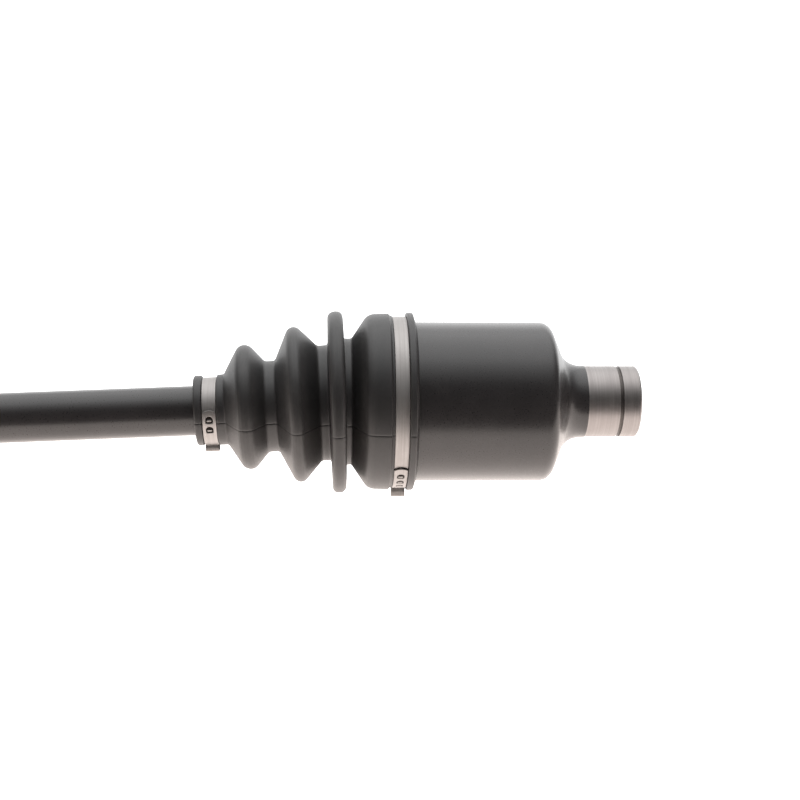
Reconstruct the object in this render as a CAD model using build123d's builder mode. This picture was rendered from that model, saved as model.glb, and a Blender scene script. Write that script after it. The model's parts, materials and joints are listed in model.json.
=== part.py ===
from build123d import *
import math
import os

os.makedirs("parts", exist_ok=True)

# CV axle (drive half shaft), in millimetres, +Z up.
# +X is the axis of the inner joint's housing, out through its stub, and the origin is the middle of the
# stub's bearing journal. The bar lies towards -X, bent down a little at the inner joint, as the axle rests.
# Each joint's own sizes are counted along its axis from the plane of its balls, + towards the gearbox.

# Whole axle
joint_spacing = 400.0      # between the ball planes of the two joints
bar_radius = 12.5
rest_bend = 2.18           # degrees between bar and housing as the axle rests
running_gap = 0.05         # between pieces that turn or slide on each other
rubber_gap = 0.3           # between a boot and what it sits on or under

# Inner joint: a plunging ball joint of the double-offset kind
inner_max_bend = 20.0      # degrees either way
plunge_in = 18.0           # housing towards the bar
plunge_out = 11.0          # housing away from the bar
inner_ball_radius = 8.5
inner_pitch_radius = 25.5
inner_offset = 3.0         # the cage's sphere centres, to either side of the balls
inner_bore_radius = 29.5
inner_cage_hole_radius = 24.6
inner_race_half = 12.0
inner_cage_half = 14.0
inner_track_gap = 0.7      # ball to track, which lets the balls ride fixed in the cage
inner_track_inset = 0.3
ball_count = 6

# Inner housing, outside
housing_radius = 40.0
housing_shoulder = 51.3    # where the cylinder starts to round over
shoulder_radius = 6.0
flank_angle = 66.7         # slope of the flank between shoulder and neck
neck_fillet = 12.0
neck_radius = 18.25
stub_radius = 18.0
neck_land = 1.6            # plain neck before the step down to the stub
stub_length = 26.8
stub_chamfer = 0.9
ring_groove_back = 10.9    # from the stub's end
ring_groove_width = 1.85
ring_groove_depth = 0.9
seat_groove_depth = 1.0    # boot seat under the large clamp
mouth_chamfer = 1.5

# Inner housing, inside
bottom_gap = 3.0           # balls and cage to the ends of tracks and bore, with the joint pushed in
stop_ring_wire = 0.9
stop_ring_radius = 30.2
stop_ring_gap = 0.1
stop_ring_arc = 345.0      # degrees of wire, the rest is its opening
ring_land = 0.6            # from the ring's groove to the mouth's chamfer
socket_depth = 39.9
socket_spline_tip = 11.3   # inner tips of the female spline
socket_spline_root = 12.4
socket_teeth = 28
pilot_radius = 12.9
pilot_length = 6.0
pilot_chamfer = 0.8
snap_groove_back = 32.9    # from the stub's end
snap_groove_width = 2.2
snap_groove_radius = 13.4

# Bar ends and the rings on them
bar_spline_step = 0.6      # spline tips below the bar's surface
bar_tooth_height = 0.8
bar_teeth = 28
bar_overhang = 4.0         # bar beyond the race
bar_chamfer = 1.0
circlip_thickness = 1.5
circlip_rise = 1.1         # circlip above the bar's surface
circlip_groove_depth = 0.5 # below the spline's roots
circlip_opening = 5.0

# Outer joint: a fixed ball joint
outer_max_bend = 45.0
outer_ball_radius = 8.0
outer_pitch_radius = 29.0
outer_race_radius = 25.6
outer_cage_wall = 5.7
outer_race_half = 12.0
outer_cage_half = 13.0
outer_track_gap = 1.3
outer_track_turn = 44.0    # degrees of track to either side of the ball plane
bell_radius = 43.0
bell_mouth = 17.0
bell_back = -22.0
bell_boss_radius = 31.0
bell_boss_start = -44.0
hub_shoulder = -50.0
hub_pilot_radius = 15.5
hub_pilot_end = -58.0
hub_spline_tip = 15.0
hub_spline_root = 13.9
hub_spline_teeth = 30
hub_spline_end = -104.0
thread_relief_radius = 10.8
thread_start = -107.0
thread_radius = 12.0
thread_end = -129.0
thread_chamfer = 1.4
thread_pitch = 1.5
thread_crest = 0.35
thread_depth = 0.85
centre_hole_radius = 3.2
centre_hole_depth = 6.0
bar_swing_gap = 0.6        # bar to bell mouth at full bend

# Boots and clamps
boot_wall = 3.5            # measured straight out from the axis
band_width = 7.0
band_thickness = 0.7
large_ear_height = 5.4
small_ear_height = 4.3
ear_width = 5.6
ear_angle = 278.0          # degrees round the axis from +Y, 270 is straight down
window_width = 3.5
large_band_at = -19.7
large_band_rise = 2.7      # outside of the band above the housing
large_windows = (239.2, 247.6, 256.0)
large_window_length = 3.8
large_overlap_start = 229.7
small_band_at = -113.9
small_band_rise = 4.0      # outside of the band above the bar
small_windows = (196.6, 214.7)
small_window_length = 3.7
small_overlap_start = 180.0
overlap_past_ear = 14.0    # degrees of overlap beyond the ear
lip_end = -12.0
lip_rise = 4.65            # boot's lip and cup above the housing
cup_rise = 4.35
cuff_rise = 5.2            # boot's small cuff above the bar
cuff_end = -121.3
disc_start = -47.8         # tall flat fold
disc_end = -54.8
disc_rise = 5.35           # above the housing
disc_root_drop = 12.5      # root of the flat fold below the housing
cup_fall = [(-31.5, 0.5), (-36.6, 2.6), (-41.6, 9.2), (-45.2, 12.0)]    # along the axis, below the cup
bellows_crests = [(-70.6, 26.3), (-95.6, 18.65)]                        # along the axis, above the bar
bellows_valleys = [(-57.3, 16.2), (-83.0, 10.2), (-106.5, 6.3)]
bellows_start = (-51.0, 19.0)
outer_large_band_at = 7.5
outer_large_band_rise = 2.8
outer_small_band_at = 103.0
outer_cup_rise = 3.8       # above the bell
outer_cup_start = 0.0
outer_cuff_length = 5.0    # beyond the small clamp
fold_count = 5
first_fold_at = 27.0
fold_pitch = 13.0
first_fold_rise = 2.0      # above the bell
first_valley_drop = 8.5    # below the bell
last_fold_rise = 16.5      # above the bar
last_valley_rise = 9.0     # above the bar


def side_plane(origin, tilt):
    # x is a piece's own axis, tilted up from +X, and y is straight out from that axis
    lean = math.radians(tilt)
    return Plane(origin=origin, x_dir=(math.cos(lean), 0, math.sin(lean)), z_dir=(0, -1, 0))


def along(side, distance):
    # point on a piece's axis
    return side.origin + side.x_dir * distance


def cross_plane(side, distance):
    # plane square to a piece's axis: its x is +Y and its y is up
    return Plane(origin=along(side, distance), x_dir=(0, 1, 0), z_dir=side.x_dir)


def radial_plane(side, turn):
    # plane through a piece's centre that faces straight out, turn degrees round the axis from +Y
    around = math.radians(turn)
    outward = Vector(0, 1, 0) * math.cos(around) + side.y_dir * math.sin(around)
    return Plane(origin=side.origin, x_dir=side.x_dir, z_dir=outward)


def turning_axis(side):
    return Axis(side.origin, side.x_dir)


def spline_points(tip_radius, root_radius, teeth):
    # outline of a spline, from straight-sided teeth
    points = []
    for tooth in range(teeth):
        flanks = ((0.08, root_radius), (0.3, tip_radius), (0.54, tip_radius), (0.76, root_radius))
        for share, radius in flanks:
            angle = 2 * math.pi * (tooth + share) / teeth
            points.append((radius * math.cos(angle), radius * math.sin(angle)))
    return points


# Sizes that follow from the ones above
bar_spline_tip = bar_radius - bar_spline_step
bar_spline_root = bar_spline_tip - bar_tooth_height
circlip_radius = bar_radius + circlip_rise
circlip_groove_radius = bar_spline_root - circlip_groove_depth
large_band_radius = housing_radius + large_band_rise
small_band_radius = bar_radius + small_band_rise
outer_large_band_radius = bell_radius + outer_large_band_rise
lip_radius = housing_radius + lip_rise
cup_radius = housing_radius + cup_rise
disc_radius = housing_radius + disc_rise
small_cuff_radius = bar_radius + cuff_rise

# The cylinder rounds over into a straight flank, and a concave arc runs out into the neck
slope = math.radians(flank_angle)
arc_end_x = housing_shoulder + shoulder_radius * math.sin(slope)
arc_end_r = housing_radius - shoulder_radius * (1 - math.cos(slope))
neck_arc_r = neck_radius + neck_fillet * (1 - math.cos(slope))
neck_arc_x = arc_end_x + (arc_end_r - neck_arc_r) / math.tan(slope)
neck_start = neck_arc_x + neck_fillet * math.sin(slope)
shoulder_mid = (
    housing_shoulder + shoulder_radius * math.sin(slope / 2),
    housing_radius - shoulder_radius * (1 - math.cos(slope / 2)),
)
neck_mid = (
    neck_start - neck_fillet * math.sin(slope / 2),
    neck_radius + neck_fillet * (1 - math.cos(slope / 2)),
)
stub_start = neck_start + neck_land
stub_end = stub_start + stub_length
ring_groove_start = stub_end - ring_groove_back
socket_bottom = stub_end - socket_depth
snap_groove_at = stub_end - snap_groove_back

# The bore and its tracks are as deep as the cage and the balls travel
cage_lean = math.radians(inner_max_bend / 2)
ball_reach = inner_pitch_radius * math.sin(cage_lean) + inner_ball_radius
track_end = plunge_in + ball_reach + bottom_gap
cage_corner = math.sqrt((inner_bore_radius - running_gap) ** 2 - (inner_cage_half - inner_offset) ** 2)
cage_reach = inner_cage_half * math.cos(cage_lean) + cage_corner * math.sin(cage_lean)
cavity_end = plunge_in + cage_reach + bottom_gap
stop_ring_at = -(plunge_out + ball_reach)
housing_open_end = stop_ring_at - stop_ring_wire - stop_ring_gap - ring_land - mouth_chamfer

ball_angles = [number * 360 / ball_count for number in range(ball_count)]

# Places: the housing's axis is level, the cage stands at half the bend and the bar at all of it.
# The cage turns in the housing about one sphere centre, and the race turns in the cage about the other.
journal_middle = (stub_start + ring_groove_start) / 2
housing_side = side_plane(Vector(-journal_middle, 0, 0), 0)
cage_in_housing = along(housing_side, inner_offset)
cage_tilt = side_plane(cage_in_housing, rest_bend / 2)
inner_cage_side = side_plane(along(cage_tilt, -inner_offset), rest_bend / 2)
race_in_cage = along(inner_cage_side, -inner_offset)
bar_tilt = side_plane(race_in_cage, rest_bend)
bar_side = side_plane(along(bar_tilt, inner_offset), rest_bend)
outer_side = side_plane(along(bar_side, -joint_spacing), rest_bend)

# Bar, with a spline, a circlip groove and a chamfer at each end
inner_bar_end = inner_race_half + bar_overhang
outer_bar_end = -joint_spacing - outer_race_half - bar_overhang
inner_seat = -inner_race_half
outer_seat = -joint_spacing + outer_race_half
with BuildPart() as shaft_bar:
    with BuildSketch(cross_plane(bar_side, outer_seat)):
        Circle(bar_radius)
    extrude(amount=inner_seat - outer_seat)
    chamfer(shaft_bar.edges().filter_by(GeomType.CIRCLE), bar_radius - bar_spline_tip)
    for seat, end in ((inner_seat, inner_bar_end), (outer_seat, outer_bar_end)):
        with BuildSketch(cross_plane(bar_side, seat)):
            Polygon(*spline_points(bar_spline_tip, bar_spline_root, bar_teeth), align=None)
        extrude(amount=end - seat)
    for end, inward in ((inner_bar_end, -1), (outer_bar_end, 1)):
        ring_middle = end + inward * (bar_overhang - circlip_thickness / 2)
        groove_half = circlip_thickness / 2 + running_gap
        with BuildSketch(bar_side):
            with BuildLine():
                Polyline(
                    (ring_middle - groove_half, circlip_groove_radius),
                    (ring_middle + groove_half, circlip_groove_radius),
                    (ring_middle + groove_half, bar_radius),
                    (ring_middle - groove_half, bar_radius),
                    close=True,
                )
            make_face()
            with BuildLine():
                Polyline(
                    (end + inward * bar_chamfer, bar_spline_tip),
                    (end, bar_spline_tip - bar_chamfer),
                    (end, bar_radius),
                    (end + inward * bar_chamfer, bar_radius),
                    close=True,
                )
            make_face()
        revolve(axis=turning_axis(bar_side), mode=Mode.SUBTRACT)
shaft_bar.part.label = "shaft_bar"
export_step(shaft_bar.part, "parts/shaft_bar.step")


# The races' bores are splined too, a running gap larger than the bar
race_spline = spline_points(bar_spline_tip + running_gap, bar_spline_root + running_gap, bar_teeth)


def clip_ring(side, end, inward):
    # C-shaped retaining ring beside a race, open at the top
    with BuildPart() as ring:
        near_face = end + inward * bar_overhang
        with BuildSketch(cross_plane(side, near_face)):
            Circle(circlip_radius)
            Circle(circlip_groove_radius + running_gap, mode=Mode.SUBTRACT)
            with Locations((0, circlip_radius)):
                Rectangle(circlip_opening, circlip_radius, mode=Mode.SUBTRACT)
        extrude(amount=-inward * circlip_thickness)
    return ring.part


# Inner race: a ball cut square at both ends, with straight tracks parallel to the bar
inner_race_radius = inner_cage_hole_radius - running_gap
with BuildPart() as inner_race:
    with BuildSketch(bar_side):
        with Locations((-inner_offset, 0)):
            Circle(inner_race_radius)
        with Locations((0, inner_race_radius)):
            Rectangle(2 * inner_race_half, 2 * inner_race_radius, mode=Mode.INTERSECT)
    revolve(axis=turning_axis(bar_side))
    with BuildSketch(cross_plane(bar_side, -inner_race_half)):
        with PolarLocations(inner_pitch_radius - inner_track_inset, ball_count):
            Circle(inner_ball_radius + inner_track_gap)
    extrude(amount=2 * inner_race_half, mode=Mode.SUBTRACT)
    with BuildSketch(cross_plane(bar_side, -inner_race_half)):
        Polygon(*race_spline, align=None)
    extrude(amount=2 * inner_race_half, mode=Mode.SUBTRACT)
inner_race.part.label = "inner_race"
export_step(inner_race.part, "parts/inner_race.step")

inner_race_circlip = clip_ring(bar_side, inner_bar_end, -1)
inner_race_circlip.label = "inner_race_circlip"
export_step(inner_race_circlip, "parts/inner_race_circlip.step")

# Inner cage: outside sphere centred past the balls, inside sphere centred before them, one window a ball
inner_cage_radius = inner_bore_radius - running_gap
with BuildPart() as inner_cage:
    with BuildSketch(inner_cage_side):
        with Locations((inner_offset, 0)):
            Circle(inner_cage_radius)
        with Locations((-inner_offset, 0)):
            Circle(inner_cage_hole_radius, mode=Mode.SUBTRACT)
        with Locations((0, inner_cage_radius)):
            Rectangle(2 * inner_cage_half, 2 * inner_cage_radius, mode=Mode.INTERSECT)
    revolve(axis=turning_axis(inner_cage_side))
    for turn in ball_angles:
        with BuildSketch(radial_plane(inner_cage_side, turn)):
            window_length = 2 * (inner_ball_radius + inner_track_gap)
            RectangleRounded(2 * (inner_ball_radius + running_gap), window_length, inner_ball_radius / 2)
        extrude(amount=2 * inner_cage_radius, mode=Mode.SUBTRACT)
inner_cage.part.label = "inner_cage"
export_step(inner_cage.part, "parts/inner_cage.step")

for number, turn in enumerate(ball_angles, start=1):
    seat_plane = radial_plane(inner_cage_side, turn)
    with BuildPart(seat_plane.offset(inner_pitch_radius)) as inner_ball:
        Sphere(inner_ball_radius)
    inner_ball.part.label = f"inner_ball_{number}"
    export_step(inner_ball.part, f"parts/inner_ball_{number}.step")

# Inner housing: cylinder, rounded shoulder, flank, concave neck and stub, turned from one forging
seat_start = large_band_at - band_width / 2
seat_end = large_band_at + band_width / 2
with BuildPart() as inner_housing:
    with BuildSketch(housing_side):
        with BuildLine():
            Polyline(
                (cavity_end, 0),
                (cavity_end, inner_bore_radius),
                (housing_open_end + mouth_chamfer, inner_bore_radius),
                (housing_open_end, inner_bore_radius + mouth_chamfer),
                (housing_open_end, housing_radius),
                (seat_start, housing_radius),
                (seat_start, housing_radius - seat_groove_depth),
                (seat_end, housing_radius - seat_groove_depth),
                (seat_end, housing_radius),
                (housing_shoulder, housing_radius),
            )
            ThreePointArc((housing_shoulder, housing_radius), shoulder_mid, (arc_end_x, arc_end_r))
            Line((arc_end_x, arc_end_r), (neck_arc_x, neck_arc_r))
            ThreePointArc((neck_arc_x, neck_arc_r), neck_mid, (neck_start, neck_radius))
            Polyline(
                (neck_start, neck_radius),
                (stub_start, neck_radius),
                (stub_start, stub_radius),
                (ring_groove_start, stub_radius),
                (ring_groove_start, stub_radius - ring_groove_depth),
                (ring_groove_start + ring_groove_width, stub_radius - ring_groove_depth),
                (ring_groove_start + ring_groove_width, stub_radius),
                (stub_end - stub_chamfer, stub_radius),
                (stub_end, stub_radius - stub_chamfer),
                (stub_end, pilot_radius + pilot_chamfer),
                (stub_end - pilot_chamfer, pilot_radius),
                (stub_end - pilot_length, pilot_radius),
                (stub_end - pilot_length, socket_spline_tip),
                (socket_bottom, socket_spline_tip),
                (socket_bottom, 0),
                (cavity_end, 0),
            )
        make_face()
    revolve(axis=turning_axis(housing_side))
    with BuildSketch(cross_plane(housing_side, housing_open_end)):
        with PolarLocations(inner_pitch_radius - inner_track_inset, ball_count):
            Circle(inner_ball_radius + inner_track_gap)
    extrude(amount=track_end - housing_open_end, mode=Mode.SUBTRACT)
    with BuildSketch(housing_side):
        with Locations((stop_ring_at, stop_ring_radius)):
            Circle(stop_ring_wire + stop_ring_gap)
        with Locations((snap_groove_at, snap_groove_radius / 2)):
            Rectangle(snap_groove_width, snap_groove_radius)
    revolve(axis=turning_axis(housing_side), mode=Mode.SUBTRACT)
    with BuildSketch(cross_plane(housing_side, socket_bottom)):
        Polygon(*spline_points(socket_spline_root, socket_spline_tip, socket_teeth), align=None)
    extrude(amount=stub_end - pilot_length - socket_bottom, mode=Mode.SUBTRACT)
inner_housing.part.label = "inner_housing"
export_step(inner_housing.part, "parts/inner_housing.step")

# Round wire ring in the housing's mouth, open at one side
with BuildPart() as inner_stop_ring:
    with BuildSketch(housing_side):
        with Locations((stop_ring_at, stop_ring_radius)):
            Circle(stop_ring_wire)
    revolve(axis=turning_axis(housing_side), revolution_arc=stop_ring_arc)
inner_stop_ring.part.label = "inner_stop_ring"
export_step(inner_stop_ring.part, "parts/inner_stop_ring.step")


def band_clamp(side, middle, radius, ear_height, windows, window_length, overlap_start):
    # band with a folded ear, and its outer end lapped over it, with hook windows in the lap
    inner_radius = radius - band_thickness
    lap_radius = radius + band_thickness
    lap_end = ear_angle + overlap_past_ear
    lap_mid = (overlap_start + lap_end) / 2
    with BuildPart() as clamp:
        with BuildSketch(cross_plane(side, middle - band_width / 2)):
            Circle(radius)
            Circle(inner_radius, mode=Mode.SUBTRACT)
            with BuildLine():
                lap_outer = CenterArc((0, 0), lap_radius, overlap_start, lap_end - overlap_start)
                lap_inner = CenterArc((0, 0), inner_radius, overlap_start, lap_end - overlap_start)
                Line(lap_outer @ 0, lap_inner @ 0)
                Line(lap_outer @ 1, lap_inner @ 1)
            make_face()
            with PolarLocations(lap_radius, 1, start_angle=ear_angle):
                with Locations((ear_height / 2 - band_thickness, 0)):
                    RectangleRounded(ear_height + 2 * band_thickness, ear_width, ear_width / 4)
                with Locations((ear_height / 2 - 2 * band_thickness, 0)):
                    hollow_width = ear_width - 2 * band_thickness
                    Rectangle(ear_height + 2 * band_thickness, hollow_width, mode=Mode.SUBTRACT)
        extrude(amount=band_width)
        for turn in windows:
            window_side = Plane(origin=along(side, middle), x_dir=side.x_dir, z_dir=side.z_dir)
            with BuildSketch(radial_plane(window_side, turn).offset(radius)):
                RectangleRounded(window_width, window_length, window_width / 3)
            extrude(amount=2 * band_thickness, mode=Mode.SUBTRACT)
            with BuildSketch(radial_plane(window_side, turn).offset(inner_radius + band_thickness / 2)):
                Rectangle(window_width / 2, window_length / 3)
            extrude(amount=band_thickness)
    return clamp.part


inner_large_clamp = band_clamp(
    housing_side,
    large_band_at,
    large_band_radius,
    large_ear_height,
    large_windows,
    large_window_length,
    large_overlap_start,
)
inner_large_clamp.label = "inner_large_clamp"
export_step(inner_large_clamp, "parts/inner_large_clamp.step")

inner_small_clamp = band_clamp(
    bar_side,
    small_band_at,
    small_band_radius,
    small_ear_height,
    small_windows,
    small_window_length,
    small_overlap_start,
)
inner_small_clamp.label = "inner_small_clamp"
export_step(inner_small_clamp, "parts/inner_small_clamp.step")

# Inner boot: cup and disc fold about the housing's axis, bellows and cuff about the bar's
cup_seat_radius = housing_radius + rubber_gap
large_band_seat = large_band_radius - band_thickness - rubber_gap
cuff_seat_radius = bar_radius + rubber_gap
small_band_seat = small_band_radius - band_thickness - rubber_gap
cup_shoulder = [(x, cup_radius - fall) for x, fall in cup_fall]
cup_outline = [
    (lip_end, cup_seat_radius),
    (lip_end, lip_radius),
    (seat_end, lip_radius),
    (seat_end, large_band_seat),
    (seat_start, large_band_seat),
    (seat_start, cup_radius),
    *cup_shoulder,
    (disc_start, cup_shoulder[-1][1]),
    (disc_start, disc_radius),
    (disc_end, disc_radius),
    (disc_end, housing_radius - disc_root_drop),
    *[(x, r - boot_wall) for x, r in reversed(cup_shoulder[1:])],
    (housing_open_end - rubber_gap, cup_seat_radius),
]
bellows_folds = [
    (x, bar_radius + rise)
    for x, rise in sorted([bellows_start] + bellows_crests + bellows_valleys, reverse=True)
]
cuff_lip = small_band_at - band_width / 2 - rubber_gap
bellows_outside = bellows_folds + [
    (small_band_at + band_width / 2 + rubber_gap, small_band_seat),
    (cuff_lip, small_band_seat),
    (cuff_lip, small_cuff_radius),
    (cuff_end, small_cuff_radius),
]
bellows_inside = [(cuff_end, cuff_seat_radius), (bellows_folds[-1][0], cuff_seat_radius)]
bellows_inside += [(x, r - boot_wall) for x, r in reversed(bellows_folds[:-1])]
with BuildPart() as inner_boot:
    with BuildSketch(housing_side):
        Polygon(*cup_outline, align=None)
    revolve(axis=turning_axis(housing_side))
    with BuildSketch(bar_side):
        Polygon(*bellows_outside, *bellows_inside, align=None)
    revolve(axis=turning_axis(bar_side))
inner_boot.part.label = "inner_boot"
export_step(inner_boot.part, "parts/inner_boot.step")

# Outer race: ball-shaped, with curved tracks about the joint's centre
outer_cage_hole_radius = outer_race_radius + running_gap
outer_cage_radius = outer_cage_hole_radius + outer_cage_wall
bell_sphere_radius = outer_cage_radius + running_gap


def curved_tracks(side, from_turn, to_turn):
    # one track for each ball: its round section carried along an arc about the joint's centre
    with BuildPart() as tracks:
        for turn in ball_angles:
            meridian = radial_plane(side, turn)
            pivot = Axis(side.origin, meridian.y_dir)
            section = Plane(side.origin, x_dir=meridian.y_dir, z_dir=side.x_dir.rotate(pivot, from_turn))
            with BuildSketch(section):
                with Locations((0, outer_pitch_radius)):
                    Circle(outer_ball_radius + outer_track_gap)
            revolve(axis=pivot, revolution_arc=to_turn - from_turn)
    return tracks.part


with BuildPart() as outer_race:
    with BuildSketch(outer_side):
        Circle(outer_race_radius)
        with Locations((0, outer_race_radius)):
            Rectangle(2 * outer_race_half, 2 * outer_race_radius, mode=Mode.INTERSECT)
    revolve(axis=turning_axis(outer_side))
    add(curved_tracks(outer_side, -outer_track_turn, outer_track_turn), mode=Mode.SUBTRACT)
    with BuildSketch(cross_plane(outer_side, -outer_race_half)):
        Polygon(*race_spline, align=None)
    extrude(amount=2 * outer_race_half, mode=Mode.SUBTRACT)
outer_race.part.label = "outer_race"
export_step(outer_race.part, "parts/outer_race.step")

outer_race_circlip = clip_ring(bar_side, outer_bar_end, 1)
outer_race_circlip.label = "outer_race_circlip"
export_step(outer_race_circlip, "parts/outer_race_circlip.step")

with BuildPart() as outer_cage:
    with BuildSketch(outer_side):
        Circle(outer_cage_radius)
        Circle(outer_cage_hole_radius, mode=Mode.SUBTRACT)
        with Locations((0, outer_cage_radius)):
            Rectangle(2 * outer_cage_half, 2 * outer_cage_radius, mode=Mode.INTERSECT)
    revolve(axis=turning_axis(outer_side))
    for turn in ball_angles:
        with BuildSketch(radial_plane(outer_side, turn)):
            window_length = 2 * (outer_ball_radius + outer_track_gap)
            RectangleRounded(2 * (outer_ball_radius + running_gap), window_length, outer_ball_radius / 2)
        extrude(amount=2 * outer_cage_radius, mode=Mode.SUBTRACT)
outer_cage.part.label = "outer_cage"
export_step(outer_cage.part, "parts/outer_cage.step")

for number, turn in enumerate(ball_angles, start=1):
    seat_plane = radial_plane(outer_side, turn)
    with BuildPart(seat_plane.offset(outer_pitch_radius)) as outer_ball:
        Sphere(outer_ball_radius)
    outer_ball.part.label = f"outer_ball_{number}"
    export_step(outer_ball.part, f"parts/outer_ball_{number}.step")

# Outer housing: bell, hub shoulder, pilot, spline and thread journal. Its mouth is a cone that clears the
# bar at full bend, and meets the sphere where that cone crosses it.
lean = math.radians(outer_max_bend)
cone_rise = math.tan(lean)
cone_start = bar_radius / math.cos(lean) + bar_swing_gap
square = 1 + cone_rise**2
linear = 2 * cone_rise * cone_start
constant = cone_start**2 - bell_sphere_radius**2
cone_x = (-linear + math.sqrt(linear**2 - 4 * square * constant)) / (2 * square)
cone_r = cone_x * cone_rise + cone_start
outer_seat_start = outer_large_band_at - band_width / 2
outer_seat_end = outer_large_band_at + band_width / 2
thread_ridges = []
ridge_count = int((thread_start - thread_end - thread_chamfer) / thread_pitch)
for ridge in range(ridge_count):
    crest_at = thread_start - ridge * thread_pitch
    valley_at = crest_at - (thread_crest + thread_pitch) / 2
    thread_ridges.append((crest_at, thread_radius))
    thread_ridges.append((crest_at - thread_crest, thread_radius))
    thread_ridges.append((valley_at, thread_radius - thread_depth))
thread_ridges.append((thread_start - ridge_count * thread_pitch, thread_radius))
with BuildPart() as outer_housing:
    with BuildSketch(outer_side):
        with BuildLine():
            sphere_wall = ThreePointArc(
                (-bell_sphere_radius, 0),
                (-bell_sphere_radius * math.cos(lean), bell_sphere_radius * math.sin(lean)),
                (cone_x, cone_r),
            )
            Polyline(
                (cone_x, cone_r),
                (bell_mouth, bell_mouth * cone_rise + cone_start),
                (bell_mouth, bell_radius),
                (outer_seat_end, bell_radius),
                (outer_seat_end, bell_radius - seat_groove_depth),
                (outer_seat_start, bell_radius - seat_groove_depth),
                (outer_seat_start, bell_radius),
                (bell_back, bell_radius),
            )
            TangentArc((bell_back, bell_radius), (bell_boss_start, bell_boss_radius), tangent=(-1, 0))
            Polyline(
                (bell_boss_start, bell_boss_radius),
                (hub_shoulder, bell_boss_radius),
                (hub_shoulder, hub_pilot_radius),
                (hub_pilot_end, hub_pilot_radius),
                (hub_pilot_end, hub_spline_root),
                (hub_spline_end, hub_spline_root),
                (hub_spline_end, thread_relief_radius),
                (thread_start, thread_relief_radius),
                *thread_ridges,
                (thread_end + thread_chamfer, thread_radius),
                (thread_end, thread_radius - thread_chamfer),
                (thread_end, centre_hole_radius),
                (thread_end + centre_hole_depth, 0),
                (-bell_sphere_radius, 0),
            )
        make_face()
    revolve(axis=turning_axis(outer_side))
    with BuildSketch(cross_plane(outer_side, hub_spline_end)):
        Polygon(*spline_points(hub_spline_tip, hub_spline_root, hub_spline_teeth), align=None)
    extrude(amount=hub_pilot_end - hub_spline_end)
    add(curved_tracks(outer_side, -outer_track_turn, outer_track_turn), mode=Mode.SUBTRACT)
outer_housing.part.label = "outer_housing"
export_step(outer_housing.part, "parts/outer_housing.step")

outer_large_clamp = band_clamp(
    outer_side,
    outer_large_band_at,
    outer_large_band_radius,
    large_ear_height,
    large_windows,
    large_window_length,
    large_overlap_start,
)
outer_large_clamp.label = "outer_large_clamp"
export_step(outer_large_clamp, "parts/outer_large_clamp.step")

outer_small_clamp = band_clamp(
    outer_side,
    outer_small_band_at,
    small_band_radius,
    small_ear_height,
    small_windows,
    small_window_length,
    small_overlap_start,
)
outer_small_clamp.label = "outer_small_clamp"
export_step(outer_small_clamp, "parts/outer_small_clamp.step")

# Outer boot: folds that shrink evenly from the bell to the bar
first_fold_radius = bell_radius + first_fold_rise
last_fold_radius = bar_radius + last_fold_rise
first_valley_radius = bell_radius - first_valley_drop
last_valley_radius = bar_radius + last_valley_rise
outer_cup_radius = bell_radius + outer_cup_rise
outer_band_seat = outer_large_band_radius - band_thickness - rubber_gap
outer_cuff_lip = outer_small_band_at + band_width / 2 + rubber_gap
outer_cuff_end = outer_cuff_lip + outer_cuff_length
outer_folds = []
for fold in range(fold_count):
    share = fold / (fold_count - 1)
    fold_at = first_fold_at + fold * fold_pitch
    outer_folds.append((fold_at, first_fold_radius + share * (last_fold_radius - first_fold_radius)))
    valley_radius = first_valley_radius + share * (last_valley_radius - first_valley_radius)
    outer_folds.append((fold_at + fold_pitch / 2, valley_radius))
boot_outside = [
    (outer_cup_start, bell_radius + rubber_gap),
    (outer_cup_start, outer_cup_radius),
    (outer_seat_start, outer_cup_radius),
    (outer_seat_start, outer_band_seat),
    (outer_seat_end, outer_band_seat),
    (outer_seat_end, outer_cup_radius),
    (bell_mouth, outer_cup_radius),
    (bell_mouth + fold_pitch / 4, outer_folds[1][1] + boot_wall),
] + outer_folds + [
    (outer_small_band_at - band_width / 2, small_band_seat),
    (outer_cuff_lip, small_band_seat),
    (outer_cuff_lip, small_cuff_radius),
    (outer_cuff_end, small_cuff_radius),
]
boot_inside = [(outer_cuff_end, cuff_seat_radius), (outer_folds[-1][0] + fold_pitch / 2, cuff_seat_radius)]
boot_inside += [(x, r - boot_wall) for x, r in reversed(outer_folds)]
boot_inside += [
    (bell_mouth + fold_pitch / 4, outer_folds[1][1]),
    (bell_mouth + rubber_gap, outer_folds[1][1]),
    (bell_mouth + rubber_gap, bell_radius + rubber_gap),
]
with BuildPart() as outer_boot:
    with BuildSketch(outer_side):
        Polygon(*boot_outside, *boot_inside, align=None)
    revolve(axis=turning_axis(outer_side))
outer_boot.part.label = "outer_boot"
export_step(outer_boot.part, "parts/outer_boot.step")

# Joint places and mounts, in metres
hub_face_middle = (bell_boss_radius + hub_pilot_radius) / 2
for name, point in (
    ("race_in_cage", race_in_cage),
    ("cage_in_housing", cage_in_housing),
    ("outer_joint", outer_side.origin),
    ("hub_shoulder", along(outer_side, hub_shoulder) + outer_side.y_dir * hub_face_middle),
    ("hub_pilot", along(outer_side, (hub_shoulder + hub_pilot_end) / 2)),
    ("hub_thread", along(outer_side, (thread_start + thread_end + thread_chamfer) / 2)),
    ("socket_bottom", along(housing_side, socket_bottom)),
    ("socket_mouth", along(housing_side, stub_end)),
    ("pilot_middle", along(housing_side, stub_end - pilot_chamfer - (pilot_length - pilot_chamfer) / 2)),
    ("bar_direction", bar_side.x_dir * 1000),
):
    print(name, *[round(value / 1000, 7) for value in point])
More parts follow.
